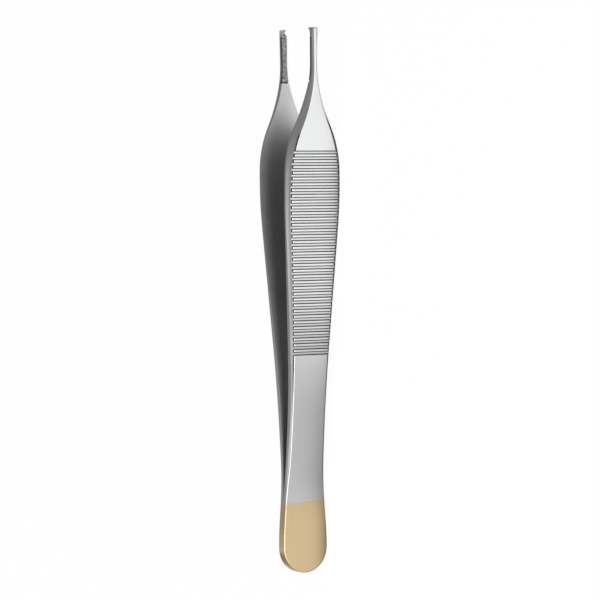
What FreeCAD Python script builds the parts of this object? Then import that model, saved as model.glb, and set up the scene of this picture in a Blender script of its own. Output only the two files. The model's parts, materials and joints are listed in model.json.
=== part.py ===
import FreeCAD, Part
import Sketcher
import math
import os

# Thumb forceps: two forged spring legs, welded face to face at the tail, with
# a broad serrated grip, slender jaws, cross-hatched jaw inserts and one tooth
# that closes between two. Each leg is drawn in its own frame: X runs from the
# tail to the tip, Y points outward from the plane where the legs meet, and Z
# goes across the leg. All sizes are in millimetres.

SIZES = {
    # overall
    "length": 120.0,
    # plan outline: straight runs between these corners, each corner rounded over a
    # blend that starts this far before it and ends as far behind it. The corners of
    # the tail and waist are placed from the end of the tail, the others from the tip
    "tail_width": 11.1,
    "tail_straight": 2.95,
    "tail_blend": 2.5,
    "waist_start_at": 20.3,
    "waist_start_width": 9.28,
    "waist_start_blend": 5.5,
    "waist_end_at": 40.2,
    "waist_end_width": 8.64,
    "waist_end_blend": 9.5,
    "grip_from_tip": 37.9,
    "grip_width": 14.06,
    "grip_blend": 5.7,
    "shoulder_from_tip": 26.4,
    "shoulder_width": 13.48,
    "shoulder_blend": 4.8,
    "neck_from_tip": 17.5,
    "neck_width": 4.9,
    "neck_blend": 3.3,
    "jaw_root_from_tip": 10.8,
    "jaw_root_width": 1.02,
    "jaw_root_blend": 3.3,
    "jaw_width": 1.38,
    # inner faces: the gap between the legs at the corners, rounded in the same way
    "weld_length": 15.0,
    "spring_root_at": 16.55,
    "spring_root_blend": 1.5,
    "crest_from_tip": 40.7,
    "crest_gap": 9.8,
    "crest_blend": 9.0,
    "shank_end_from_tip": 15.4,
    "shank_end_gap": 10.7,
    "shank_end_blend": 3.0,
    "flare_end_from_tip": 9.4,
    "flare_end_gap": 11.6,
    "flare_end_blend": 2.9,
    "tip_gap": 11.9,
    # outer faces
    "tail_thickness": 1.15,
    "bow_start_at": 18.1,
    "bow_end_from_tip": 21.0,
    "bow_radius": 985.0,
    "bow_start_round": 60.0,
    "bow_end_round": 120.0,
    "jaw_thickness": 1.33,
    "tip_round": 0.3,
    # bevels at 45 degrees along the outer edges
    "tail_bevel": 0.14,
    "waist_bevel": 0.3,
    "grip_bevel": 1.05,
    "shoulder_bevel": 1.3,
    "neck_bevel": 0.85,
    "jaw_bevel": 0.32,
    "edge_round": 0.25,
    # cross grooves of the grip, counted back from the shoulder
    "groove_last_from_tip": 27.3,
    "groove_pitch": 1.26,
    "groove_count": 36,
    "groove_mouth_width": 0.88,
    "groove_floor_width": 0.34,
    "groove_depth": 0.32,
    # hatched inserts, set into the inner faces of the jaws
    "insert_start_from_tip": 11.5,
    "insert_end_from_tip": 1.9,
    "insert_root_gap": 11.24,
    "insert_tip_gap": 11.8,
    "insert_thickness": 0.5,
    "braze_gap": 0.3,
    "hatch_pitch": 0.62,
    "hatch_count": 19,
    "hatch_depth": 0.12,
    # one tooth closes between two
    "teeth_base_from_tip": 1.4,
    "tooth_land": 0.25,
    "pair_height": 0.5,
    "pair_run": 0.7,
    "pair_notch_width": 0.44,
    "pair_notch_run": 0.9,
    "pair_notch_depth": 0.45,
    "single_height": 0.3,
    "single_hollow": 0.52,
    "single_run": 0.75,
    "single_width": 0.32,
    "single_side_run": 1.6,
    "single_side_depth": 1.0,
}

# distance that cuts run past the metal they remove
CLEAR = 1.0

DOC = FreeCAD.newDocument("thumb_forceps")


def make_sheet():
    sheet = DOC.addObject("Spreadsheet::Sheet", "Sizes")
    for row, (name, size) in enumerate(SIZES.items(), start=1):
        sheet.set(f"A{row}", name)
        sheet.set(f"B{row}", str(size))
        sheet.setAlias(f"B{row}", name)
    DOC.recompute()
    return sheet


SHEET = make_sheet()


def size(name):
    return f"Sizes.{name}"


def half(name):
    return f"Sizes.{name} / 2"


def from_tip(name):
    """Station of a place that is sized back from the tip."""
    return f"(Sizes.length - Sizes.{name}_from_tip)"


def value(expression):
    return float(SHEET.evalExpression(expression))


def bow_centre():
    """Centre of the arc of the outer face, from its two ends and its radius, as expressions."""
    run = f"({from_tip('bow_end')} - {size('bow_start_at')})"
    rise = f"({JAW_BACK} - {size('tail_thickness')})"
    chord = f"sqrt({run}^2 + {rise}^2)"
    drop = f"sqrt({size('bow_radius')}^2 - {chord}^2 / 4)"
    along = f"(({from_tip('bow_end')} + {size('bow_start_at')}) / 2 + {drop} * {rise} / {chord})"
    below = f"({drop} * {run} / {chord} - ({JAW_BACK} + {size('tail_thickness')}) / 2)"
    return along, below


JAW_BACK = f"({half('tip_gap')} + {size('jaw_thickness')})"
BOW_ALONG, BOW_BELOW = bow_centre()


def back_height(station):
    """Height of the bowed outer face above the plane where the legs meet."""
    return f"(sqrt({size('bow_radius')}^2 - ({BOW_ALONG} - {station})^2) - {BOW_BELOW})"


def across_bevel(width, height, bevel):
    """Reach of a 45 degree bevel, measured square to the bevel from the leg's centre line."""
    return f"(({width}) + ({height}) - ({bevel})) / sqrt(2)"


# Sketch helpers. A point is a pair of expressions, along X and along Y of the sketch.
# An end is a curve of the sketch and the place on it: 1 its start, 2 its end, 3 its centre.

START, END, CENTRE = 1, 2, 3


def spot(point):
    return FreeCAD.Vector(value(point[0]), value(point[1]), 0)


def origin_plane(body, role):
    return [item for item in body.Origin.OriginFeatures if item.Role == role][0]


def new_sketch(body, name, plane, turn=0.0):
    sketch = body.newObject("Sketcher::SketchObject", name)
    sketch.AttachmentSupport = (origin_plane(body, plane), [""])
    sketch.MapMode = "FlatFace"
    if turn:
        rotation = FreeCAD.Rotation(FreeCAD.Vector(1, 0, 0), turn)
        sketch.AttachmentOffset = FreeCAD.Placement(FreeCAD.Vector(0, 0, 0), rotation)
    return sketch


def relate(sketch, kind, *terms):
    return sketch.addConstraint(Sketcher.Constraint(kind, *terms))


def bind(sketch, kind, terms, expression):
    """Adds a size to the sketch and ties it to the spreadsheet."""
    index = relate(sketch, kind, *terms, value(expression))
    sketch.setExpression(f"Constraints[{index}]", expression)


def fix_along(sketch, kind, end, expression):
    """Distance of a point from the sketch's origin, on either side of it."""
    if value(expression) < 0:
        bind(sketch, kind, (*end, -1, 1), f"-({expression})")
    else:
        bind(sketch, kind, (-1, 1, *end), expression)


def fix(sketch, end, point):
    fix_along(sketch, "DistanceX", end, point[0])
    fix_along(sketch, "DistanceY", end, point[1])


def end_of(sketch, end):
    return sketch.getPoint(*end)


def add_arc(sketch, centre, radius, first, last):
    """Arc from one angle, counter-clockwise, to another."""
    circle = Part.Circle(centre, FreeCAD.Vector(0, 0, 1), radius)
    if last < first:
        last += 2 * math.pi
    return sketch.addGeometry(Part.ArcOfCircle(circle, first, last), False)


def add_blend(sketch, corner, before, after, length):
    """Arc that rounds a corner, and its ends where the outline enters and leaves it."""
    inward = (corner - before).normalize()
    outward = (after - corner).normalize()
    side = FreeCAD.Vector(0, 0, 1).cross(inward)
    turn = inward.getAngle(outward)
    radius = length / math.tan(turn / 2)
    turns_left = side.dot(outward) > 0
    enter = corner - inward * length
    leave = corner + outward * length
    centre = enter + side * (radius if turns_left else -radius)
    angles = [math.atan2(end.y - centre.y, end.x - centre.x) for end in (enter, leave)]
    if turns_left:
        arc = add_arc(sketch, centre, radius, *angles)
        return (arc, START), (arc, END)
    arc = add_arc(sketch, centre, radius, *reversed(angles))
    return (arc, END), (arc, START)


def add_run(sketch, corners, blends, first_is_free=False):
    """Straight runs between corners, each inner corner rounded over its blend.

    Returns the two outer ends. The height of the first end can be left to what it joins."""
    places = [spot(corner) for corner in corners]
    points = []
    arcs = []
    for index, blend in enumerate(blends, start=1):
        points.append(sketch.addGeometry(Part.Point(places[index]), True))
        fix(sketch, (points[-1], START), corners[index])
        around = (places[index], places[index - 1], places[index + 1])
        arcs.append(add_blend(sketch, *around, value(blend)))

    start, finish = None, None
    for index in range(len(corners) - 1):
        has_arc_before = index > 0
        has_arc_after = index < len(blends)
        tail = end_of(sketch, arcs[index - 1][1]) if has_arc_before else places[0]
        head = end_of(sketch, arcs[index][0]) if has_arc_after else places[-1]
        line = sketch.addGeometry(Part.LineSegment(tail, head), False)
        if has_arc_before:
            relate(sketch, "Tangent", *arcs[index - 1][1], line, START)
            relate(sketch, "PointOnObject", points[index - 1], START, line)
        else:
            start = (line, START)
        if has_arc_after:
            relate(sketch, "Tangent", line, END, *arcs[index][0])
            relate(sketch, "PointOnObject", points[index], START, line)
            bind(sketch, "Distance", (points[index], START, *arcs[index][0]), blends[index])
        else:
            finish = (line, END)
    if first_is_free:
        fix_along(sketch, "DistanceX", start, corners[0][0])
    else:
        fix(sketch, start, corners[0])
    fix(sketch, finish, corners[-1])
    return start, finish


def add_path(sketch, first, points, last):
    """Straight runs from one end, through points, to another end."""
    previous = first
    for point in points:
        line = Part.LineSegment(end_of(sketch, previous), spot(point))
        item = sketch.addGeometry(line, False)
        relate(sketch, "Coincident", *previous, item, START)
        fix(sketch, (item, END), point)
        previous = (item, END)
    line = Part.LineSegment(end_of(sketch, previous), end_of(sketch, last))
    item = sketch.addGeometry(line, False)
    relate(sketch, "Coincident", *previous, item, START)
    relate(sketch, "Coincident", item, END, *last)


def add_loop(sketch, points):
    """Closed run of straight lines through points."""
    places = [spot(point) for point in points]
    pairs = zip(places, places[1:] + places[:1])
    lines = [sketch.addGeometry(Part.LineSegment(*pair), False) for pair in pairs]
    for line, following, point in zip(lines, lines[1:] + lines[:1], points):
        relate(sketch, "Coincident", line, END, following, START)
        fix(sketch, (line, START), point)


def cut_through(body, sketch, name):
    pocket = body.newObject("PartDesign::Pocket", name)
    pocket.Profile = sketch
    pocket.Type = "ThroughAll"
    pocket.SideType = "Symmetric"
    return pocket


# Places that several cuts share.

TAIL_CENTRE = half("tail_width")
BEHIND = f"-{CLEAR}"
BELOW = f"-{CLEAR}"
BEYOND = f"{size('length')} + {CLEAR}"
ABOVE = f"{JAW_BACK} + 2 * {CLEAR}"

OUTLINE_CORNERS = [
    (TAIL_CENTRE, half("tail_width")),
    (f"{TAIL_CENTRE} + {size('tail_straight')}", half("tail_width")),
    (size("waist_start_at"), half("waist_start_width")),
    (size("waist_end_at"), half("waist_end_width")),
    (from_tip("grip"), half("grip_width")),
    (from_tip("shoulder"), half("shoulder_width")),
    (from_tip("neck"), half("neck_width")),
    (from_tip("jaw_root"), half("jaw_root_width")),
    (size("length"), half("jaw_width")),
]
OUTLINE_BLENDS = [
    size(f"{corner}_blend")
    for corner in ("tail", "waist_start", "waist_end", "grip", "shoulder", "neck", "jaw_root")
]


def pad_outline(body):
    """Plan outline of a leg, raised from the plane where the legs meet."""
    sketch = new_sketch(body, "PlanOutline", "XZ_Plane")
    centre = spot((TAIL_CENTRE, "0"))
    tail = add_arc(sketch, centre, value(half("tail_width")), math.pi / 2, 1.5 * math.pi)
    fix_along(sketch, "DistanceX", (tail, CENTRE), TAIL_CENTRE)
    relate(sketch, "PointOnObject", tail, CENTRE, -1)
    bind(sketch, "Radius", (tail,), half("tail_width"))

    opposite = [(along, f"-({across})") for along, across in OUTLINE_CORNERS]
    left_start, left_tip = add_run(sketch, OUTLINE_CORNERS, OUTLINE_BLENDS, first_is_free=True)
    right_start, right_tip = add_run(sketch, opposite, OUTLINE_BLENDS, first_is_free=True)
    relate(sketch, "Coincident", tail, START, *left_start)
    relate(sketch, "Coincident", tail, END, *right_start)
    add_path(sketch, left_tip, [], right_tip)

    pad = body.newObject("PartDesign::Pad", "Blank")
    pad.Profile = sketch
    pad.Reversed = True
    pad.setExpression("Length", f"{JAW_BACK} + {CLEAR}")


def add_sized_arc(sketch, centre, radius_expression, first, last):
    arc = add_arc(sketch, centre, value(radius_expression), first, last)
    bind(sketch, "Radius", (arc,), radius_expression)
    return arc


def blend_centre(bow_centre_at, height, reach):
    """Centre of an arc that meets the bow, at a given height and distance from the bow's centre."""
    rise = height - bow_centre_at.y
    centre = FreeCAD.Vector(bow_centre_at.x - math.sqrt(reach**2 - rise**2), height, 0)
    return centre, math.atan2(rise, centre.x - bow_centre_at.x)


def cut_outer_face(body):
    """Flat tail, bowed handle and straight jaw back, rounded over at the tip."""
    sketch = new_sketch(body, "OuterFace", "XY_Plane")
    bow_centre_at = spot((BOW_ALONG, f"-{BOW_BELOW}"))
    bow = value(size("bow_radius"))
    tail = value(size("tail_thickness"))
    back = value(JAW_BACK)
    dip = value(size("bow_start_round"))
    crown = value(size("bow_end_round"))
    corner = value(size("tip_round"))
    tip = value(size("length"))

    dip_centre, dip_lean = blend_centre(bow_centre_at, tail + dip, bow + dip)
    crown_centre, crown_lean = blend_centre(bow_centre_at, back - crown, bow - crown)
    corner_centre = FreeCAD.Vector(tip - corner, back - corner, 0)
    quarter = math.pi / 2
    dip_arc = add_sized_arc(sketch, dip_centre, size("bow_start_round"), -quarter, dip_lean - math.pi)
    bow_arc = add_sized_arc(sketch, bow_centre_at, size("bow_radius"), crown_lean, dip_lean)
    crown_arc = add_sized_arc(sketch, crown_centre, size("bow_end_round"), quarter, crown_lean)
    corner_arc = add_sized_arc(sketch, corner_centre, size("tip_round"), 0, quarter)

    tail_start = FreeCAD.Vector(-CLEAR, tail, 0)
    tail_line = Part.LineSegment(tail_start, end_of(sketch, (dip_arc, START)))
    tail_line = sketch.addGeometry(tail_line, False)
    ends = (end_of(sketch, (crown_arc, START)), end_of(sketch, (corner_arc, END)))
    back_line = sketch.addGeometry(Part.LineSegment(*ends), False)

    relate(sketch, "Horizontal", tail_line)
    relate(sketch, "Horizontal", back_line)
    relate(sketch, "Tangent", tail_line, END, dip_arc, START)
    relate(sketch, "Tangent", dip_arc, END, bow_arc, END)
    relate(sketch, "Tangent", bow_arc, START, crown_arc, END)
    relate(sketch, "Tangent", crown_arc, START, back_line, START)
    relate(sketch, "Tangent", back_line, END, corner_arc, END)
    fix(sketch, (bow_arc, CENTRE), (BOW_ALONG, f"-{BOW_BELOW}"))
    fix(sketch, (tail_line, START), (BEHIND, size("tail_thickness")))
    fix(sketch, (corner_arc, START), (size("length"), f"{JAW_BACK} - {size('tip_round')}"))
    fix_along(sketch, "DistanceY", (back_line, END), JAW_BACK)

    around = [(BEYOND, f"{JAW_BACK} - {size('tip_round')}"), (BEYOND, ABOVE), (BEHIND, ABOVE)]
    add_path(sketch, (corner_arc, START), around, (tail_line, START))
    cut_through(body, sketch, "OuterFaceCut")


def cut_inner_face(body, tooth):
    """Face that is welded to the other leg at the tail, springs away from it and ends in the tooth."""
    sketch = new_sketch(body, "InnerFace", "XY_Plane")
    corners = [
        (size("weld_length"), "0"),
        (size("spring_root_at"), "0"),
        (from_tip("crest"), half("crest_gap")),
        (from_tip("shank_end"), half("shank_end_gap")),
        (from_tip("flare_end"), half("flare_end_gap")),
        (from_tip("teeth_base"), half("tip_gap")),
    ]
    bends = ("spring_root", "crest", "shank_end", "flare_end")
    start, finish = add_run(sketch, corners, [size(f"{bend}_blend") for bend in bends])
    around = tooth + [(BEYOND, tooth[-1][1]), (BEYOND, BELOW), (size("weld_length"), BELOW)]
    add_path(sketch, finish, around, start)
    cut_through(body, sketch, "InnerFaceCut")


def cut_bevels(body):
    """Bevels at 45 degrees along both outer edges, drawn square to the bevel."""
    sketch = new_sketch(body, "Bevel", "XY_Plane", turn=45)
    heights = [
        size("tail_thickness"),
        size("tail_thickness"),
        size("tail_thickness"),
        back_height(size("waist_end_at")),
        back_height(from_tip("grip")),
        back_height(from_tip("shoulder")),
        JAW_BACK,
        JAW_BACK,
        JAW_BACK,
    ]
    bevels = ["tail", "tail", "tail", "waist", "grip", "shoulder", "neck", "jaw", "jaw"]
    corners = [
        (corner[0], across_bevel(corner[1], height, size(f"{bevel}_bevel")))
        for corner, height, bevel in zip(OUTLINE_CORNERS, heights, bevels)
    ]
    start, finish = add_run(sketch, corners, OUTLINE_BLENDS)
    top = f"{half('grip_width')} + {ABOVE}"
    around = [(BEYOND, corners[-1][1]), (BEYOND, top), (BEHIND, top), (BEHIND, corners[0][1])]
    add_path(sketch, finish, around, start)
    pocket = cut_through(body, sketch, "BevelCut")

    mirror = body.newObject("PartDesign::Mirrored", "BothBevels")
    mirror.Originals = [pocket]
    mirror.MirrorPlane = (origin_plane(body, "XY_Plane"), [""])
    body.Tip = mirror


def cut_tail_bevel(body):
    """The same bevel carried round the end of the tail."""
    sketch = new_sketch(body, "TailBevel", "XY_Plane")
    foot = f"{size('tail_thickness')} - {size('tail_bevel')} - {CLEAR}"
    top = f"{size('tail_thickness')} + {CLEAR}"
    add_loop(sketch, [(BEHIND, foot), (f"{size('tail_bevel')} + {CLEAR}", top), (BEHIND, top)])
    ends = [spot((TAIL_CENTRE, "0")), spot((TAIL_CENTRE, top))]
    axis = sketch.addGeometry(Part.LineSegment(*ends), True)
    fix(sketch, (axis, START), (TAIL_CENTRE, "0"))
    fix(sketch, (axis, END), (TAIL_CENTRE, top))
    groove = body.newObject("PartDesign::Groove", "TailBevelCut")
    groove.Profile = sketch
    groove.ReferenceAxis = (sketch, ["Axis0"])
    groove.Angle = 180
    groove.Midplane = True


def round_outer_edges(body):
    """Small round where the outer face meets the bevels and the tail bevel."""
    DOC.recompute()
    base = body.Tip
    names = []
    for index, edge in enumerate(base.Shape.Edges, start=1):
        middle = edge.valueAt((edge.FirstParameter + edge.LastParameter) / 2)
        faces = base.Shape.ancestorsOfType(edge, Part.Face)
        if any(is_outer(face) for face in faces) and any(is_bevel(face) for face in faces):
            names.append(f"Edge{index}")
    fillet = body.newObject("PartDesign::Fillet", "OuterEdgeRound")
    fillet.Base = (base, names)
    fillet.setExpression("Radius", size("edge_round"))


def middle_normal(face):
    low_u, high_u, low_v, high_v = face.ParameterRange
    return face.normalAt((low_u + high_u) / 2, (low_v + high_v) / 2)


def is_outer(face):
    normal = middle_normal(face)
    return normal.y > 0.97


def is_bevel(face):
    normal = middle_normal(face)
    return 0.55 < normal.y < 0.85


def cut_insert_seat(body):
    """Flat-bottomed seat for the insert, a little longer than the insert."""
    sketch = new_sketch(body, "InsertSeat", "XY_Plane")
    first = f"{from_tip('insert_start')} - {size('braze_gap')}"
    last = f"{from_tip('insert_end')} + {size('braze_gap')} / 2"
    corners = [(first, seat_floor(first)), (last, seat_floor(last)), (last, BELOW), (first, BELOW)]
    add_loop(sketch, corners)
    cut_through(body, sketch, "InsertSeatCut")


def insert_face(station):
    """Height of the insert's hatched face, which is straight."""
    rise = f"({half('insert_tip_gap')} - {half('insert_root_gap')})"
    run = f"({from_tip('insert_end')} - {from_tip('insert_start')})"
    return f"({half('insert_root_gap')} + {rise} * ({station} - {from_tip('insert_start')}) / {run})"


def seat_floor(station):
    return f"({insert_face(station)} + {size('insert_thickness')})"


def cut_from_meeting_plane(body, name, loops, height):
    """Pocket from the plane where the legs meet up to a height."""
    sketch = new_sketch(body, name, "XZ_Plane")
    for loop in loops:
        add_loop(sketch, loop)
    pocket = body.newObject("PartDesign::Pocket", name + "Cut")
    pocket.Profile = sketch
    pocket.setExpression("Length", height)


def cut_pair_notch(body):
    """Notch between the two teeth, which the single tooth enters."""
    apex = f"{size('length')} - {size('pair_notch_run')}"
    mouth = half("pair_notch_width")
    root = f"{mouth} / 2"
    loop = [(apex, root), (apex, f"-({root})"), (BEYOND, f"-({mouth})"), (BEYOND, mouth)]
    height = f"{half('tip_gap')} + {size('pair_notch_depth')}"
    cut_from_meeting_plane(body, "PairNotch", [loop], height)


def cut_single_sides(body):
    """Slanting sides that leave one narrow tooth in the middle of the jaw."""
    start = f"{size('length')} - {size('single_side_run')}"
    tooth = f"{size('length')} - {size('single_run')} / 2"
    side = half("single_width")
    edge = half("jaw_width") + f" + {CLEAR}"
    half_loop = [(start, half("jaw_width")), (tooth, side), (BEYOND, side), (BEYOND, edge), (start, edge)]
    opposite = [(along, f"-({across})") for along, across in half_loop]
    height = f"{half('tip_gap')} + {size('single_side_depth')}"
    cut_from_meeting_plane(body, "SingleSides", [half_loop, opposite], height)


def cut_grip_grooves(body):
    """Flat-floored cross grooves, drawn from the centre of the bow and stepped about it."""
    sketch = new_sketch(body, "GripGroove", "XY_Plane")
    lean = f"asin(({BOW_ALONG} - {from_tip('groove_last')}) / {size('bow_radius')})"
    rotation = FreeCAD.Rotation(FreeCAD.Vector(0, 0, 1), value(lean))
    sketch.AttachmentOffset = FreeCAD.Placement(spot((BOW_ALONG, f"-{BOW_BELOW}")), rotation)
    sketch.setExpression("AttachmentOffset.Base.x", BOW_ALONG)
    sketch.setExpression("AttachmentOffset.Base.y", f"-{BOW_BELOW}")
    sketch.setExpression("AttachmentOffset.Rotation.Angle", lean)
    floor = half("groove_floor_width")
    slope = f"({half('groove_mouth_width')} - {floor}) / {size('groove_depth')}"
    mouth = f"{half('groove_mouth_width')} + {slope} * {CLEAR}"
    bottom = f"{size('bow_radius')} - {size('groove_depth')}"
    top = f"{size('bow_radius')} + {CLEAR}"
    add_loop(sketch, [(floor, bottom), (mouth, top), (f"-({mouth})", top), (f"-({floor})", bottom)])
    pocket = cut_through(body, sketch, "GripGrooveCut")

    pattern = body.newObject("PartDesign::PolarPattern", "GripGrooves")
    pattern.Originals = [pocket]
    pattern.Axis = (sketch, ["N_Axis"])
    pattern.Mode = "Spacing"
    pattern.setExpression("Offset", f"{size('groove_pitch')} / {size('bow_radius')} * 180 / pi")
    pattern.setExpression("Occurrences", size("groove_count"))
    body.Tip = pattern


def new_body(name):
    body = DOC.addObject("PartDesign::Body", name)
    body.Label = name
    return body


PAIR_TOOTH = [
    (f"{size('length')} - {size('pair_run')}", half("tip_gap")),
    (f"{size('length')} - {size('tooth_land')}", f"{half('tip_gap')} - {size('pair_height')}"),
]
SINGLE_TOOTH = [
    (f"{size('length')} - {size('single_run')}", f"{half('tip_gap')} + {size('single_hollow')}"),
    (f"{size('length')} - {size('tooth_land')} / 2", f"{half('tip_gap')} - {size('single_height')}"),
]


def make_leg(name, tooth, cut_tooth):
    """Forged spring leg, in one piece from the tail to the tooth."""
    body = new_body(name)
    pad_outline(body)
    cut_outer_face(body)
    cut_inner_face(body, tooth)
    cut_bevels(body)
    cut_tail_bevel(body)
    round_outer_edges(body)
    cut_insert_seat(body)
    cut_tooth(body)
    cut_grip_grooves(body)
    return body


def make_insert(name):
    """Hatched insert, flush with the sides of the jaw."""
    body = new_body(name)
    pad_outline(body)
    sketch = new_sketch(body, "InsertSides", "XY_Plane")
    first, last = from_tip("insert_start"), from_tip("insert_end")
    low = f"-2 * {CLEAR}"
    add_loop(sketch, [(BEHIND, low), (BEYOND, low), (BEYOND, ABOVE), (BEHIND, ABOVE)])
    face = [(first, insert_face(first)), (last, insert_face(last))]
    add_loop(sketch, face + [(last, seat_floor(last)), (first, seat_floor(first))])
    line = sketch.addGeometry(Part.LineSegment(*[spot(point) for point in face]), True)
    fix(sketch, (line, START), face[0])
    fix(sketch, (line, END), face[1])
    cut_through(body, sketch, "InsertSidesCut")
    DOC.recompute()
    for hand, turn in (("Left", 45), ("Right", -45)):
        cut_hatch(body, hand, turn, sketch)
    return body


def cut_hatch(body, hand, turn, guide):
    """V grooves at 45 degrees across the face, stepped along it."""
    sketch = new_sketch(body, f"{hand}Hatch", "XY_Plane")
    rotation = FreeCAD.Rotation(FreeCAD.Vector(0, 1, 0), turn)
    sketch.AttachmentOffset = FreeCAD.Placement(FreeCAD.Vector(0, 0, 0), rotation)
    start = f"({from_tip('insert_start')} - 1.5 * {size('hatch_pitch')})"
    middle = f"{start} * cos({turn})"
    surface = insert_face(start)
    reach = f"({size('hatch_depth')} + {CLEAR})"
    corners = [
        (f"{middle} - {reach}", f"{surface} - {CLEAR}"),
        (f"{middle} + {reach}", f"{surface} - {CLEAR}"),
        (middle, f"{surface} + {size('hatch_depth')}"),
    ]
    add_loop(sketch, corners)
    pocket = cut_through(body, sketch, f"{hand}HatchCut")
    pattern = body.newObject("PartDesign::LinearPattern", f"{hand}Hatching")
    pattern.Originals = [pocket]
    pattern.Direction = (guide, ["Axis0"])
    pattern.Mode = "Spacing"
    pattern.setExpression("Offset", size("hatch_pitch"))
    pattern.setExpression("Occurrences", size("hatch_count"))
    body.Tip = pattern


def rest_tilt(outline):
    """Angle at which the tail and the shoulder both touch a table, in radians."""
    radius = value(half("tail_width"))
    leans = []
    for edge in outline.Shape.Edges:
        for point in edge.discretize(40):
            along, across = point.x - radius, abs(point.z)
            distance = math.hypot(along, across)
            if along > radius:
                leans.append(math.atan2(across, along) - math.asin(radius / distance))
    return max(leans)


def place_at_rest(body, tilt, is_front):
    """Lays the forceps on the edges of its tail and shoulders, centred over the origin."""
    radius = value(half("tail_width"))
    tip_reach = value(size("length")) * math.cos(tilt) + value(half("jaw_width")) * math.sin(tilt)
    tail_reach = radius * math.cos(tilt) - radius
    base = FreeCAD.Vector(-(tip_reach + tail_reach) / 2, 0, radius - radius * math.sin(tilt))
    lean = FreeCAD.Rotation(FreeCAD.Vector(0, 1, 0), -math.degrees(tilt))
    roll = FreeCAD.Rotation(FreeCAD.Vector(1, 0, 0), 180 if is_front else 0)
    body.Placement = FreeCAD.Placement(base, lean * roll)


def check_document():
    for item in DOC.Objects:
        if "Invalid" in item.State or "Error" in item.State:
            raise RuntimeError(f"{item.Name}: {item.getStatusString()}")


def export(body):
    shape = body.Shape
    if shape.isNull() or not shape.isValid():
        raise RuntimeError(f"{body.Label} has no valid shape")
    os.makedirs("parts", exist_ok=True)
    shape.exportStep(f"parts/{body.Label}.step")
    print(body.Label, "solids", len(shape.Solids), "faces", len(shape.Faces), "mm3", round(shape.Volume, 2))


def main():
    front = [make_leg("front_leg", PAIR_TOOTH, cut_pair_notch), make_insert("front_jaw_insert")]
    rear = [make_leg("rear_leg", SINGLE_TOOTH, cut_single_sides), make_insert("rear_jaw_insert")]
    DOC.recompute()
    outline = [item for item in front[0].Group if item.Name.startswith("PlanOutline")][0]
    tilt = rest_tilt(outline)
    for body in front + rear:
        place_at_rest(body, tilt, body in front)
    DOC.recompute()
    check_document()
    for body in front + rear:
        export(body)


main()
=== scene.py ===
import json
import math

import bpy
from bpy.props import FloatProperty, FloatVectorProperty, PointerProperty
from mathutils import Matrix, Vector

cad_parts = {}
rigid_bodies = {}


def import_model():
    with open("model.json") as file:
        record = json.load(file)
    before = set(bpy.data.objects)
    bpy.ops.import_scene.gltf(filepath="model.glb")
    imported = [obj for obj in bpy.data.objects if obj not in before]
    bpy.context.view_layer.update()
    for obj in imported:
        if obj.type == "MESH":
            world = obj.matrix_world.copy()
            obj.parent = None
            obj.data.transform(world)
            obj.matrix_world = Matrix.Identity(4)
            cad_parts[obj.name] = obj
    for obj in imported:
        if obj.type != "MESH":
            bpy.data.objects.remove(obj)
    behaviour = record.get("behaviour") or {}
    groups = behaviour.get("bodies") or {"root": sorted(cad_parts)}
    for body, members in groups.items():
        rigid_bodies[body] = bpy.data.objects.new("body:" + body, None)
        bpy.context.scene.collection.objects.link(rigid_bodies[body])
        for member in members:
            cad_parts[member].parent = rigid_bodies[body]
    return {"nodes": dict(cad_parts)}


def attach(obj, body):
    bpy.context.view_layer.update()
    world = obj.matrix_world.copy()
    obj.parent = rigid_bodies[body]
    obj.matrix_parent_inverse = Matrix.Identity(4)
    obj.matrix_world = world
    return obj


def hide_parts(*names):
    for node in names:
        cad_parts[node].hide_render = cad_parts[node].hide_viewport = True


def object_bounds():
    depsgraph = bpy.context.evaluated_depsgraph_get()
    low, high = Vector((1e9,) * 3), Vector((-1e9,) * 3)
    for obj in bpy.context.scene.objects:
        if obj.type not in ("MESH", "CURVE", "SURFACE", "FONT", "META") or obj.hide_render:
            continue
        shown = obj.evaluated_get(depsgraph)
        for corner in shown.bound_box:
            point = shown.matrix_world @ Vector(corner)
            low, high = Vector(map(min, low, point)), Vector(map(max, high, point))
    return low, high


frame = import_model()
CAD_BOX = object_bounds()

# Thumb forceps in satin steel, with a gold-coloured tail and hatched carbide inserts.
# The frame gives the shapes and places. This add-on gives them their finish and sets
# up the floor, the lights and the camera.

bl_info = {
    "name": "Thumb forceps finish",
    "version": (1, 0, 0),
    "blender": (4, 5, 0),
    "location": "3D View > Sidebar > Forceps",
    "description": "Satin steel, gold-coloured plating and carbide for a pair of thumb forceps",
    "category": "Object",
}

LEGS = ("front_leg", "rear_leg")
INSERTS = ("front_jaw_insert", "rear_jaw_insert")
BODY = "root"

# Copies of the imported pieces
WELD_DISTANCE = 0.000002
SMOOTH_ANGLE = math.radians(24.0)

# A leg's own frame, in metres: its station runs from the end of the tail to the tip, and
# its height is taken from the plane where the legs meet. Its start is given along the
# forceps and above the floor, and it's tilted there.
TILT = math.radians(1.0114)
LEG_START = (-0.059996, 0.005452)

# Outer face of a leg: an arc round a centre that lies beyond the plane where the legs
# meet, with the grip grooves cut into it. A rise or a fall has its two ends, in depth
# below the face, or in stations where the name says so. The gain widens the band of painted
# shade on a groove's wall.
BOW_STATION = 0.13291
BOW_BELOW = 0.977135
BOW_RADIUS = 0.985
GROOVE_DEPTH = 0.00032
WALL_GAIN = 6.5
FLOOR_FALL = (1.2 * GROOVE_DEPTH, 1.5 * GROOVE_DEPTH)
GRIP_STATIONS = ((0.034, 0.046), (0.0960, 0.0975))
BEVEL_RISE = (GROOVE_DEPTH, 1.2 * GROOVE_DEPTH)
BEVEL_FALL = (0.0004, 0.00085)
BEVEL_STATIONS = ((0.050, 0.057), (0.088, 0.092))

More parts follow.
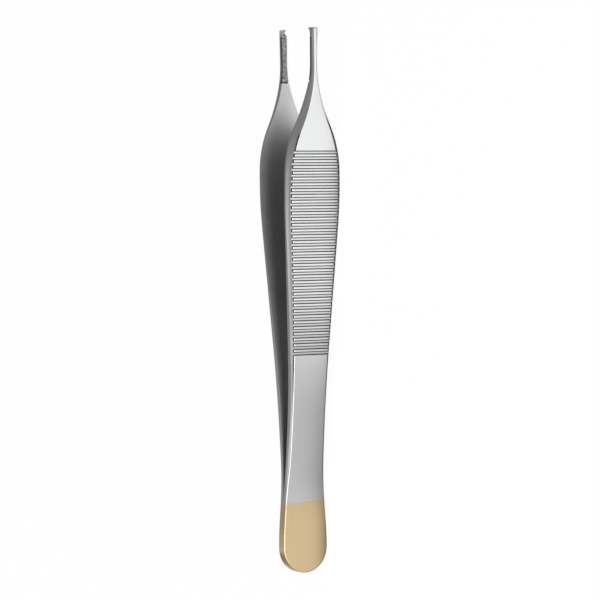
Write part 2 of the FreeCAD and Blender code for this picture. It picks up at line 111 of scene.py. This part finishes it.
# Insert and its seat. Each gap has its middle and half its width.
INSERT_START = 0.1085
INSERT_END = 0.1181
INSERT_HEIGHT = 0.00562
INSERT_SLOPE = 0.0292
SIDE_RISE = (0.00013, 0.00018)
SEAT_HEIGHT = 0.00645
SEAT_GAPS = ((INSERT_START - 0.00015, 0.0002), (INSERT_END + 0.00008, 0.00012))
SEAM_RISE = (0.00042, 0.00048)
SEAM_FALL = (0.00055, 0.0007)
SEAM_STATIONS = ((INSERT_START - 0.0001, INSERT_START), (INSERT_END, INSERT_END + 0.0001))
HATCH_START = 0.10757
HATCH_PITCH = 0.00062

# Shares and shades of a colour
# The braze joint is dark, with painted shade in the seat gaps and along the seam
SEAM_SHARE = 0.7
BRAZE_AND_GAP_SHADE = 0.12
# Painted shade on the sides of the inserts
SIDE_PAINTED_SHADE = 0.15
STEEL_SHADES = (0.97, 1.03)
GOLD_SHADES = (0.95, 1.05)
CARBIDE_SHADES = (0.85, 1.05)
WEAR_SHADES = (0.3, 1.75)

# How far the roughness drifts
STEEL_UNEVEN = 0.05
CARBIDE_UNEVEN = 0.08

# Patterns on the metal: a scale is in waves for each metre, and a stretch is along the axes.
BLOTCH_SCALE = 55.0
BLOTCH_STRETCH = (0.35, 1.0, 1.0)
GRAIN_SCALE = 5200.0
BRUSHING_SCALE = 2600.0
BRUSHING_STRETCH = (0.06, 1.0, 1.0)
CARBIDE_GRAIN_SCALE = 9000.0
WEAR_SCALE = 1500.0

# Edge of the plating
WAVE_SCALE = 260.0
WAVE_DEPTH = 0.0009
PLATING_BLUR = 0.00008

# Floor as the metal reflects it, in places along the forceps from its middle, and sideways:
# a painted glow, with painted shadow under the legs, stands in for the light on the floor.
# The glow starts beyond a line beside each leg, a margin outside the leg's face. The face spreads
# from near the tail on, and the line steps out at the neck. The glow's edge is firm beside
# the tips and the plating, and softer between. Between the necks lies a strip of painted glow.
FACE_START = -0.042
FACE_SLOPE = 0.0743
FACE_MOST = 0.0062
FACE_MARGIN = 0.0012
NECK_RISE = (0.036, 0.046)
NECK_STEP = 0.002
TIPWARD_RISE = (-0.028, 0.004)
TIPWARD_FIRMNESS = (0.5, 1.0)
TAILWARD_RISE = (-0.040, -0.050)
TAILWARD_FIRMNESS = (0.0, 0.5)
TAILWARD_GLOW = 1.15
LEAN_START = 0.040
LEAN_SLOPE = 0.6
LEAN_MOST = 0.002
STRIP_RISE = (-0.0045, -0.0025)
STRIP_FALL = (-0.0005, 0.0015)
STRIP_LENGTH = ((0.0372, 0.0395), (0.0570, 0.0590))

# Softboxes: place, target, width and height
FRONT_SOFTBOX = ((-0.17, -0.97, 0.14), (0.0, 0.0, 0.0), 0.5, 0.26)
UPPER_SOFTBOX = ((-0.26, -0.4, 0.68), (0.0, 0.0, 0.0), 0.4, 0.3)
REAR_SOFTBOX = ((-0.11, 0.26, 0.16), (-0.05, 0.0, 0.0), 0.08, 0.08)

# Camera
CAMERA_TARGET = (0.0, 0.0, 0.0065)
SENSOR_WIDTH = 36.0
CLIP_START = 0.01
CLIP_END = 50.0


class ForcepsFinishAndShade(bpy.types.PropertyGroup):
    """Finish of the metal, with painted shade on the grip grooves, the bevel, the seat gaps, the
    seam and the hatched inserts.
    """

    steel: FloatVectorProperty(
        name="Steel",
        description="Colour of the satin steel",
        subtype="COLOR",
        min=0.0,
        max=1.0,
        default=(0.83, 0.835, 0.84),
    )
    steel_roughness: FloatProperty(
        name="Steel roughness",
        description="How matt the satin finish is",
        min=0.0,
        max=1.0,
        subtype="FACTOR",
        default=0.38,
    )
    grain_depth: FloatProperty(
        name="Grain depth",
        description="Depth of the satin grain",
        min=0.0,
        max=0.0001,
        unit="LENGTH",
        default=0.000004,
    )
    # Painted shade on the walls of the grip grooves
    wall_painted_shade: FloatProperty(
        name="Wall darkening",
        description="How much duller the cut walls of the grip grooves are",
        min=0.0,
        max=1.0,
        subtype="FACTOR",
        default=0.8,
    )
    # Painted shade on the floors of the grip grooves
    groove_floor_painted_shade: FloatProperty(
        name="Floor darkening",
        description="How much duller the floors of the grip grooves are",
        min=0.0,
        max=1.0,
        subtype="FACTOR",
        default=0.12,
    )
    # Painted shade on the bevel beside the ends of the grip grooves
    bevel_painted_shade: FloatProperty(
        name="Bevel darkening",
        description="How much duller the bevel is beside the ends of the grip grooves",
        min=0.0,
        max=1.0,
        subtype="FACTOR",
        default=0.35,
    )
    gold: FloatVectorProperty(
        name="Plating",
        description="Colour of the gold-coloured plating",
        subtype="COLOR",
        min=0.0,
        max=1.0,
        default=(1.0, 0.755, 0.45),
    )
    gold_roughness: FloatProperty(
        name="Plating roughness",
        description="How matt the plating is",
        min=0.0,
        max=1.0,
        subtype="FACTOR",
        default=0.38,
    )
    plating_length: FloatProperty(
        name="Plating length",
        description="Distance from the end of the tail to the edge of the plating",
        min=0.0,
        max=0.06,
        unit="LENGTH",
        default=0.0161,
    )
    plating_slant: FloatProperty(
        name="Plating slant",
        description="How far the edge of the plating leans along the leg for each unit across it",
        min=-1.0,
        max=1.0,
        default=-0.055,
    )
    carbide: FloatVectorProperty(
        name="Carbide",
        description="Colour of the hatched inserts",
        subtype="COLOR",
        min=0.0,
        max=1.0,
        default=(1.0, 1.0, 1.0),
    )
    # Painted shade in the cuts of the hatching
    cut_painted_shade: FloatProperty(
        name="Cut darkening",
        description="How much darker the cuts of the hatching are",
        min=0.0,
        max=1.0,
        subtype="FACTOR",
        default=0.75,
    )
    carbide_roughness: FloatProperty(
        name="Carbide roughness",
        description="How matt the inserts are",
        min=0.0,
        max=1.0,
        subtype="FACTOR",
        default=0.42,
    )


class ForcepsStage(bpy.types.PropertyGroup):
    """Floor, lights and camera."""

    floor_size: FloatProperty(
        name="Floor size",
        description="Side of the square floor",
        min=0.5,
        max=20.0,
        unit="LENGTH",
        default=6.0,
    )
    floor_colour: FloatVectorProperty(
        name="Floor",
        description="Colour of the floor",
        subtype="COLOR",
        min=0.0,
        max=1.0,
        default=(0.9, 0.9, 0.9),
    )
    glow: FloatProperty(
        name="Glow",
        description="Brightness of the floor's own glow",
        min=0.0,
        max=2.0,
        default=1.18,
    )
    glow_seen: FloatProperty(
        name="Glow seen",
        description="How much of the floor's white is its own glow, which takes no shadow",
        min=0.0,
        max=1.0,
        subtype="FACTOR",
        default=0.8,
    )
    # The reflected glow, the reflected paint, the two edges and the share at the tail shape a
    # painted glow and painted shadow on the floor where metal reflects it
    glow_reflected: FloatProperty(
        name="Glow reflected",
        description="How much of the lit part of the floor is glow where metal reflects it",
        min=0.0,
        max=1.0,
        subtype="FACTOR",
        default=0.85,
    )
    paint_reflected: FloatProperty(
        name="Paint reflected",
        description="Brightness of the unlit floor where metal reflects it, as a share of its own",
        min=0.0,
        max=1.0,
        subtype="FACTOR",
        default=0.25,
    )
    dark_edge: FloatProperty(
        name="Dark edge",
        description="How far inside the line beside each leg the lit part of the floor starts",
        min=0.0,
        max=0.5,
        unit="LENGTH",
        default=0.0012,
    )
    lit_edge: FloatProperty(
        name="Lit edge",
        description="How far outside the line beside each leg the floor is fully lit",
        min=0.0,
        max=0.5,
        unit="LENGTH",
        default=0.0063,
    )
    tail_share: FloatProperty(
        name="Share at the tail",
        description="Reflected glow beside the tail, as a share of that beside the tips",
        min=0.0,
        max=1.0,
        subtype="FACTOR",
        default=0.48,
    )
    sky: FloatProperty(
        name="Sky",
        description="Brightness of the studio round the floor",
        min=0.0,
        max=2.0,
        default=0.2,
    )
    front_glow: FloatProperty(
        name="Front softbox",
        description="Brightness of the low softbox in front of the forceps",
        min=0.0,
        max=200.0,
        default=9.0,
    )
    upper_glow: FloatProperty(
        name="Upper softbox",
        description="Brightness of the softbox high in front of the forceps",
        min=0.0,
        max=200.0,
        default=1.0,
    )
    rear_glow: FloatProperty(
        name="Rear softbox",
        description="Brightness of the small softbox behind the tail",
        min=0.0,
        max=200.0,
        default=0.75,
    )
    azimuth: FloatProperty(
        name="Camera azimuth",
        description="Direction of the camera round the forceps, from the side of the front leg",
        subtype="ANGLE",
        default=math.radians(1.888),
    )
    elevation: FloatProperty(
        name="Camera elevation",
        description="Height of the camera above the floor, as an angle",
        subtype="ANGLE",
        default=math.radians(31.166),
    )
    roll: FloatProperty(
        name="Camera roll",
        description="Turn of the picture, from the tips pointing straight up",
        subtype="ANGLE",
        default=math.radians(0.335),
    )
    distance: FloatProperty(
        name="Camera distance",
        description="Distance from the camera to the middle of the forceps",
        min=0.1,
        max=5.0,
        unit="LENGTH",
        default=0.67944,
    )
    focal_length: FloatProperty(
        name="Focal length",
        description="Focal length for a sensor that is 36 mm wide",
        min=10.0,
        max=500.0,
        default=184.727,
    )
    shift_right: FloatProperty(
        name="Shift right",
        description="How far the forceps stands right of the picture's middle, as a share of it",
        min=-0.5,
        max=0.5,
        default=0.00121,
    )
    shift_down: FloatProperty(
        name="Shift down",
        description="How far the forceps stands below the picture's middle, as a share of it",
        min=-0.5,
        max=0.5,
        default=0.00212,
    )


# Shader helpers


def new_material(name):
    material = bpy.data.materials.new(name)
    material.use_nodes = True
    material.node_tree.nodes.clear()
    return material


def add_node(tree, kind, **settings):
    node = tree.nodes.new(kind)
    for name, setting in settings.items():
        setattr(node, name, setting)
    return node


def link(tree, source, target):
    tree.links.new(source, target)


def add_output(tree, shader):
    output = add_node(tree, "ShaderNodeOutputMaterial")
    link(tree, shader.outputs[0], output.inputs["Surface"])


def add_place(tree):
    """The piece's own coordinates, as one vector and as three numbers."""
    place = add_node(tree, "ShaderNodeTexCoord").outputs["Object"]
    split = add_node(tree, "ShaderNodeSeparateXYZ")
    link(tree, place, split.inputs[0])
    return place, *split.outputs


def add_math(tree, operation, first, second=0.0):
    """Math node whose inputs are sockets or numbers."""
    node = add_node(tree, "ShaderNodeMath", operation=operation)
    for socket, term in zip(node.inputs, (first, second)):
        if isinstance(term, (int, float)):
            socket.default_value = term
        else:
            link(tree, term, socket)
    return node.outputs[0]


def add_product(tree, first, *others):
    for other in others:
        first = add_math(tree, "MULTIPLY", first, other)
    return first


def add_noise(tree, place, scale, detail, stretch=(1.0, 1.0, 1.0)):
    """Noise on the object's own coordinates, stretched along its axes."""
    mapping = add_node(tree, "ShaderNodeMapping")
    mapping.inputs["Scale"].default_value = stretch
    link(tree, place, mapping.inputs["Vector"])
    noise = add_node(tree, "ShaderNodeTexNoise")
    noise.inputs["Scale"].default_value = scale
    noise.inputs["Detail"].default_value = detail
    link(tree, mapping.outputs["Vector"], noise.inputs["Vector"])
    return noise.outputs["Fac"]


def add_range(tree, source, low, high):
    """Maps 0 to 1 onto a range."""
    node = add_node(tree, "ShaderNodeMapRange")
    node.inputs["To Min"].default_value = low
    node.inputs["To Max"].default_value = high
    link(tree, source, node.inputs["Value"])
    return node.outputs["Result"]


def add_ramp(tree, source, start, end, curve="SMOOTHSTEP"):
    """Goes from 0 at the start to 1 at the end. The end may lie below the start."""
    node = add_node(tree, "ShaderNodeMapRange", interpolation_type=curve)
    node.inputs["From Min"].default_value = start
    node.inputs["From Max"].default_value = end
    link(tree, source, node.inputs["Value"])
    return node.outputs["Result"]


def add_stretch(tree, source, rise, fall):
    """1 between a smooth rise and a smooth fall."""
    return add_product(tree, add_ramp(tree, source, *rise), add_ramp(tree, source, *reversed(fall)))


def add_band(tree, source, middle, reach):
    """1 where the source is within reach of the middle, and 0 elsewhere."""
    away = add_math(tree, "ABSOLUTE", add_math(tree, "SUBTRACT", source, middle))
    return add_math(tree, "LESS_THAN", away, reach)


def add_mix(tree, share, first, second):
    """Colour mix whose colours are sockets or plain colours."""
    node = add_node(tree, "ShaderNodeMix", data_type="RGBA")
    colours = [socket for socket in node.inputs if socket.type == "RGBA"]
    link(tree, share, node.inputs["Factor"])
    for socket, colour in zip(colours, (first, second)):
        if isinstance(colour, bpy.types.NodeSocket):
            link(tree, colour, socket)
        else:
            socket.default_value = (*colour, 1.0)
    return [socket for socket in node.outputs if socket.type == "RGBA"][0]


def shade(colour, factor):
    return tuple(min(1.0, channel * factor) for channel in colour)


def add_shades(tree, share, colour, shades):
    """Drifts between two shades of a colour."""
    return add_mix(tree, share, *(shade(colour, factor) for factor in shades))


def scale_colour(tree, colour, factor):
    node = add_node(tree, "ShaderNodeVectorMath", operation="SCALE")
    link(tree, colour, node.inputs["Vector"])
    link(tree, factor, node.inputs["Scale"])
    return node.outputs["Vector"]


def darken(tree, colour, share, least):
    """Scales a colour down, to its least where the share is 1."""
    return scale_colour(tree, colour, add_range(tree, share, 1.0, least))


def finish_metal(tree, colour, roughness, relief, depth):
    """Metal with a fine relief, joined to the output."""
    shader = add_node(tree, "ShaderNodeBsdfPrincipled")
    shader.inputs["Metallic"].default_value = 1.0
    link(tree, colour, shader.inputs["Base Color"])
    link(tree, roughness, shader.inputs["Roughness"])
    bump = add_node(tree, "ShaderNodeBump")
    bump.inputs["Strength"].default_value = 1.0
    bump.inputs["Distance"].default_value = depth
    link(tree, relief, bump.inputs["Height"])
    link(tree, bump.outputs["Normal"], shader.inputs["Normal"])
    add_output(tree, shader)


# Places on a leg, for its finish


def add_leg_frame(tree, along, sideways, up):
    """Station, height and place across the leg, from the piece's own coordinates."""
    cosine, sine = math.cos(TILT), math.sin(TILT)
    start = LEG_START[0] * cosine + LEG_START[1] * sine
    base = LEG_START[1] * cosine - LEG_START[0] * sine
    run = add_product(tree, along, cosine)
    rise = add_product(tree, up, sine)
    station = add_math(tree, "SUBTRACT", add_math(tree, "ADD", run, rise), start)
    run = add_product(tree, along, sine)
    rise = add_product(tree, up, cosine)
    across = add_math(tree, "SUBTRACT", add_math(tree, "SUBTRACT", rise, run), base)
    return station, add_math(tree, "ABSOLUTE", sideways), across


def add_face_depth(tree, station, height):
    """Depth below the bowed outer face."""
    run = add_math(tree, "POWER", add_math(tree, "SUBTRACT", BOW_STATION, station), 2.0)
    rise = add_math(tree, "POWER", add_math(tree, "ADD", height, BOW_BELOW), 2.0)
    reach = add_math(tree, "SQRT", add_math(tree, "ADD", run, rise))
    return add_math(tree, "SUBTRACT", BOW_RADIUS, reach)


def add_grooves(tree, station, height):
    """Masks of painted shade: on the groove walls, on the groove floors and on the bevel beside the
    grooves.
    """
    depth = add_face_depth(tree, station, height)
    cut = add_ramp(tree, depth, 0.0, GROOVE_DEPTH)
    uncut = add_math(tree, "SUBTRACT", 1.0, cut)
    walls = add_math(tree, "MINIMUM", add_product(tree, cut, uncut, WALL_GAIN), 1.0)
    floors = add_product(tree, cut, add_ramp(tree, depth, *reversed(FLOOR_FALL)))
    bevel = add_stretch(tree, depth, BEVEL_RISE, BEVEL_FALL)
    bevel = add_product(tree, bevel, add_stretch(tree, station, *BEVEL_STATIONS))
    grip = add_stretch(tree, station, *GRIP_STATIONS)
    return add_product(tree, walls, grip), add_product(tree, floors, grip), bevel


def add_insert_depth(tree, station, height):
    """Depth below the face of the insert, which opens a little towards the tip."""
    lift = add_product(tree, add_math(tree, "SUBTRACT", station, INSERT_START), INSERT_SLOPE)
    return add_math(tree, "SUBTRACT", add_math(tree, "SUBTRACT", height, lift), INSERT_HEIGHT)


def add_braze_and_gap_shade(tree, station, height):
    """1 in the narrow seat gaps at both ends of the insert, and less in the seam along it: a dark
    braze joint, with painted shade in the gaps and along the seam.
    """
    inside = add_math(tree, "LESS_THAN", height, SEAT_HEIGHT)
    gaps = add_math(tree, "MAXIMUM", *(add_band(tree, station, *gap) for gap in SEAT_GAPS))
    ends = add_product(tree, inside, gaps)
    seam = add_stretch(tree, add_insert_depth(tree, station, height), SEAM_RISE, SEAM_FALL)
    length = add_stretch(tree, station, *SEAM_STATIONS)
    return add_math(tree, "MAXIMUM", ends, add_product(tree, seam, length, SEAM_SHARE))


def add_plating(tree, place, along, up, finish):
    """1 on the plated tail. The edge of the plating leans and is a little wavy."""
    slant = add_product(tree, up, finish.plating_slant)
    wave = add_range(tree, add_noise(tree, place, WAVE_SCALE, 1.0), -WAVE_DEPTH, WAVE_DEPTH)
    edge = add_math(tree, "ADD", slant, wave)
    edge = add_math(tree, "ADD", edge, CAD_BOX[0][0] + finish.plating_length)
    beyond = add_math(tree, "SUBTRACT", edge, along)
    return add_ramp(tree, beyond, -PLATING_BLUR, PLATING_BLUR, "LINEAR")


def add_cuts(tree, station, across):
    """0 in the crossed cuts of the hatching, and 1 on the diamonds between them."""
    cuts = []
    for operation in ("ADD", "SUBTRACT"):
        slanted = add_math(tree, operation, station, across)
        slanted = add_math(tree, "SUBTRACT", slanted, HATCH_START)
        cuts.append(add_math(tree, "PINGPONG", slanted, HATCH_PITCH / 2))
    return add_ramp(tree, add_math(tree, "MINIMUM", *cuts), 0.0, HATCH_PITCH / 4)


# Materials


def leg_material(finish):
    """Satin steel, brushed along the leg, with a gold-coloured tail, painted shade on the walls and
    floors of the grip grooves and on the bevel beside them, and a dark braze joint with painted
    shade in the seat gaps and along the seam.
    """
    material = new_material("satin_steel_and_plating")
    tree = material.node_tree
    place, along, sideways, up = add_place(tree)
    station, height, _ = add_leg_frame(tree, along, sideways, up)
    plated = add_plating(tree, place, along, up, finish)

    blotch = add_noise(tree, place, BLOTCH_SCALE, 3.0, BLOTCH_STRETCH)
    steel = add_shades(tree, blotch, finish.steel, STEEL_SHADES)
    gold = add_shades(tree, blotch, finish.gold, GOLD_SHADES)
    colour = add_mix(tree, plated, steel, gold)
    walls, floors, bevel = add_grooves(tree, station, height)
    # Painted shade on the walls and floors of the grip grooves and on the bevel beside them
    colour = darken(tree, colour, walls, 1.0 - finish.wall_painted_shade)
    colour = darken(tree, colour, floors, 1.0 - finish.groove_floor_painted_shade)
    colour = darken(tree, colour, bevel, 1.0 - finish.bevel_painted_shade)
    # The dark braze joint, with painted shade in the seat gaps and along the seam
    colour = darken(tree, colour, add_braze_and_gap_shade(tree, station, height), BRAZE_AND_GAP_SHADE)

    grain = add_noise(tree, place, GRAIN_SCALE, 3.0)
    brushing = add_noise(tree, place, BRUSHING_SCALE, 2.0, BRUSHING_STRETCH)
    uneven = add_range(tree, grain, -STEEL_UNEVEN, STEEL_UNEVEN)
    steel_rough = add_math(tree, "ADD", uneven, finish.steel_roughness)
    gold_rough = add_math(tree, "ADD", uneven, finish.gold_roughness)
    step = add_product(tree, plated, add_math(tree, "SUBTRACT", gold_rough, steel_rough))
    roughness = add_math(tree, "ADD", steel_rough, step)
    relief = add_math(tree, "ADD", grain, brushing)
    finish_metal(tree, colour, roughness, relief, finish.grain_depth)
    return material


def insert_material(finish):
    """Carbide, ground matt, with painted shade in the cuts of the hatching and on its sides, and
    uneven wear.
    """
    material = new_material("hatched_carbide")
    tree = material.node_tree
    place, along, sideways, up = add_place(tree)
    station, height, across = add_leg_frame(tree, along, sideways, up)

    grain = add_noise(tree, place, CARBIDE_GRAIN_SCALE, 3.0)
    colour = add_shades(tree, grain, finish.carbide, CARBIDE_SHADES)
    # Painted shade in the cuts of the hatching
    diamonds = add_cuts(tree, station, across)
    colour = scale_colour(tree, colour, add_range(tree, diamonds, 1.0 - finish.cut_painted_shade, 1.0))
    # Painted shade on the sides of the insert
    side = add_ramp(tree, add_insert_depth(tree, station, height), *SIDE_RISE)
    colour = darken(tree, colour, side, SIDE_PAINTED_SHADE)
    wear = add_range(tree, add_noise(tree, place, WEAR_SCALE, 0.0), *WEAR_SHADES)
    colour = scale_colour(tree, colour, wear)

    low = finish.carbide_roughness - CARBIDE_UNEVEN
    high = finish.carbide_roughness + CARBIDE_UNEVEN
    finish_metal(tree, colour, add_range(tree, grain, low, high), grain, finish.grain_depth)
    return material


def add_lit_beside(tree, along, sideways, firmness, stage):
    """1 on the floor well outside the line beside each leg, and 0 under the legs."""
    face = add_product(tree, add_math(tree, "SUBTRACT", along, FACE_START), FACE_SLOPE)
    face = add_math(tree, "MINIMUM", add_math(tree, "MAXIMUM", face, 0.0), FACE_MOST)
    neck = add_range(tree, add_ramp(tree, along, *NECK_RISE), 0.0, NECK_STEP)
    face = add_math(tree, "ADD", face, neck)
    under = add_math(tree, "SUBTRACT", face, add_math(tree, "ABSOLUTE", sideways))
    under = add_product(tree, add_math(tree, "ADD", under, FACE_MARGIN), firmness)
    return add_ramp(tree, under, stage.dark_edge, -stage.lit_edge)


def add_lit_between(tree, along, sideways):
    """1 on a short strip of the floor between the necks, with a slanting edge."""
    lean = add_product(tree, add_math(tree, "SUBTRACT", along, LEAN_START), LEAN_SLOPE)
    lean = add_math(tree, "MINIMUM", lean, LEAN_MOST)
    strip = add_ramp(tree, add_math(tree, "ADD", sideways, lean), *STRIP_RISE)
    strip = add_product(tree, strip, add_ramp(tree, sideways, *reversed(STRIP_FALL)))
    return add_product(tree, strip, add_stretch(tree, along, *STRIP_LENGTH))


def floor_material(stage):
    """Pale floor that shows white and takes the shadow of the forceps.

    Metal reflects a painted glow beside the legs and between their necks, and only dim paint under
    them, as painted light and painted shadow on the floor. The glow it reflects is stronger towards
    the tips.
    """
    material = new_material("pale_floor")
    tree = material.node_tree
    path = add_node(tree, "ShaderNodeLightPath")
    reflected = add_math(
        tree, "MAXIMUM", path.outputs["Is Glossy Ray"], path.outputs["Is Transmission Ray"]
    )
    paint = add_node(tree, "ShaderNodeBsdfDiffuse")
    dim = shade(stage.floor_colour, stage.paint_reflected)
    link(tree, add_mix(tree, reflected, tuple(stage.floor_colour), dim), paint.inputs["Color"])
    glow = add_node(tree, "ShaderNodeEmission")
    glow.inputs["Color"].default_value = (1.0, 1.0, 1.0, 1.0)
    glow.inputs["Strength"].default_value = stage.glow

    _, along, sideways, _ = add_place(tree)
    tipward = add_ramp(tree, along, *TIPWARD_RISE)
    tailward = add_ramp(tree, along, *TAILWARD_RISE)
    tip_firmness = add_range(tree, tipward, *TIPWARD_FIRMNESS)
    tail_firmness = add_range(tree, tailward, *TAILWARD_FIRMNESS)
    firmness = add_math(tree, "ADD", tip_firmness, tail_firmness)
    beside = add_lit_beside(tree, along, sideways, firmness, stage)
    beside = add_product(tree, beside, stage.glow_reflected)
    lit = add_math(tree, "MAXIMUM", beside, add_lit_between(tree, along, sideways))
    lit = add_product(tree, lit, add_range(tree, tipward, stage.tail_share, 1.0))
    lit = add_product(tree, lit, add_range(tree, tailward, 1.0, TAILWARD_GLOW))
    seen = add_product(tree, path.outputs["Is Camera Ray"], stage.glow_seen)
    share = add_math(tree, "MAXIMUM", seen, add_product(tree, reflected, lit))
    mix = add_node(tree, "ShaderNodeMixShader")
    link(tree, share, mix.inputs["Fac"])
    link(tree, paint.outputs[0], mix.inputs[1])
    link(tree, glow.outputs[0], mix.inputs[2])
    add_output(tree, mix)
    return material


# Pieces


def select_only(thing):
    bpy.ops.object.select_all(action="DESELECT")
    thing.select_set(True)
    bpy.context.view_layer.objects.active = thing


def finished_copy(node, name):
    """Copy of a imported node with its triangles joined, so that smooth faces shade as one."""
    select_only(frame["nodes"][node])
    bpy.ops.object.duplicate()
    piece = bpy.context.view_layer.objects.active
    piece.name = name
    piece.data.name = name
    select_only(piece)
    bpy.ops.object.parent_clear(type="CLEAR_KEEP_TRANSFORM")
    if piece.data.has_custom_normals:
        bpy.ops.mesh.customdata_custom_splitnormals_clear()
    bpy.ops.object.mode_set(mode="EDIT")
    bpy.ops.mesh.select_all(action="SELECT")
    bpy.ops.mesh.remove_doubles(threshold=WELD_DISTANCE)
    bpy.ops.object.mode_set(mode="OBJECT")
    bpy.ops.object.shade_smooth_by_angle(angle=SMOOTH_ANGLE)
    bpy.ops.object.modifier_add(type="WEIGHTED_NORMAL")
    weighting = piece.modifiers[-1]
    weighting.keep_sharp = True
    bpy.ops.object.modifier_apply(modifier=weighting.name)
    return piece


def dress(piece, node, material):
    piece.data.materials.clear()
    piece.data.materials.append(material)
    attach(piece, BODY)
    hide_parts(node)


class FORCEPS_OT_finish_legs(bpy.types.Operator):
    """Give both legs their satin steel and plated tails"""

    bl_idname = "forceps.finish_legs"
    bl_label = "Finish the legs"

    def execute(self, context):
        material = leg_material(context.scene.forceps_finish)
        for node in LEGS:
            dress(finished_copy(node, node + "_finish"), node, material)
        return {"FINISHED"}


class FORCEPS_OT_finish_inserts(bpy.types.Operator):
    """Give the hatched inserts their matt carbide"""

    bl_idname = "forceps.finish_inserts"
    bl_label = "Finish the inserts"

    def execute(self, context):
        material = insert_material(context.scene.forceps_finish)
        for node in INSERTS:
            dress(finished_copy(node, node + "_finish"), node, material)
        return {"FINISHED"}


def add_softbox(name, glow, place, target, width, height):
    """Rectangular lamp that faces a target and shows as bright as its glow, where 1 is white."""
    bpy.ops.object.light_add(type="AREA", location=place)
    lamp = bpy.context.view_layer.objects.active
    lamp.name = name
    lamp.data.shape = "RECTANGLE"
    lamp.data.size = width
    lamp.data.size_y = height
    lamp.data.energy = glow * math.pi * width * height
    away = Vector(place) - Vector(target)
    lamp.rotation_euler = away.to_track_quat("Z", "Y").to_euler()


def set_world(stage):
    """Even studio light from all round."""
    world = bpy.data.worlds.new("studio")
    bpy.context.scene.world = world
    world.use_nodes = True
    background = world.node_tree.nodes["Background"]
    background.inputs["Color"].default_value = (1.0, 1.0, 1.0, 1.0)
    background.inputs["Strength"].default_value = stage.sky


def place_camera(stage):
    """Camera that looks down on the forceps, with the tips at the top of the picture."""
    flat = math.cos(stage.elevation)
    away = Vector((
        math.sin(stage.azimuth) * flat,
        -math.cos(stage.azimuth) * flat,
        math.sin(stage.elevation),
    ))
    tips = Vector((1.0, 0.0, 0.0))
    up = (tips - away * tips.dot(away)).normalized()
    up.rotate(Matrix.Rotation(stage.roll, 3, away))
    right = up.cross(away)
    target = Vector(CAMERA_TARGET)
    bpy.ops.object.camera_add()
    camera = bpy.context.view_layer.objects.active
    camera.name = "camera"
    turn = Matrix((right, up, away)).transposed().to_4x4()
    camera.matrix_world = Matrix.Translation(target + away * stage.distance) @ turn
    camera.data.sensor_width = SENSOR_WIDTH
    camera.data.lens = stage.focal_length
    camera.data.shift_x = -stage.shift_right
    camera.data.shift_y = stage.shift_down
    camera.data.clip_start = CLIP_START
    camera.data.clip_end = CLIP_END
    bpy.context.scene.camera = camera


class FORCEPS_OT_set_stage(bpy.types.Operator):
    """Lay the floor, hang the lamps and place the camera"""

    bl_idname = "forceps.set_stage"
    bl_label = "Set the stage"

    def execute(self, context):
        stage = context.scene.forceps_stage
        bpy.ops.object.select_all(action="DESELECT")
        bpy.ops.mesh.primitive_plane_add(size=stage.floor_size, location=(0.0, 0.0, 0.0))
        floor = context.view_layer.objects.active
        floor.name = "floor"
        floor.data.materials.append(floor_material(stage))
        add_softbox("front_softbox", stage.front_glow, *FRONT_SOFTBOX)
        add_softbox("upper_softbox", stage.upper_glow, *UPPER_SOFTBOX)
        add_softbox("rear_softbox", stage.rear_glow, *REAR_SOFTBOX)
        set_world(stage)
        place_camera(stage)
        context.scene.view_settings.view_transform = "Standard"
        return {"FINISHED"}


class FORCEPS_PT_panel(bpy.types.Panel):
    """Panel in the sidebar of the 3D view"""

    bl_label = "Thumb forceps"
    bl_idname = "FORCEPS_PT_panel"
    bl_space_type = "VIEW_3D"
    bl_region_type = "UI"
    bl_category = "Forceps"

    def draw(self, context):
        for group in (context.scene.forceps_finish, context.scene.forceps_stage):
            box = self.layout.box()
            for name in group.__annotations__:
                box.prop(group, name)
        for operator in OPERATORS:
            self.layout.operator(operator.bl_idname)


OPERATORS = (FORCEPS_OT_finish_legs, FORCEPS_OT_finish_inserts, FORCEPS_OT_set_stage)
CLASSES = (ForcepsFinishAndShade, ForcepsStage, *OPERATORS, FORCEPS_PT_panel)


def register():
    for item in CLASSES:
        bpy.utils.register_class(item)
    bpy.types.Scene.forceps_finish = PointerProperty(type=ForcepsFinishAndShade)
    bpy.types.Scene.forceps_stage = PointerProperty(type=ForcepsStage)


def unregister():
    del bpy.types.Scene.forceps_stage
    del bpy.types.Scene.forceps_finish
    for item in reversed(CLASSES):
        bpy.utils.unregister_class(item)


def main():
    register()
    bpy.ops.forceps.finish_legs()
    bpy.ops.forceps.finish_inserts()
    bpy.ops.forceps.set_stage()


if __name__ == "__main__":
    main()
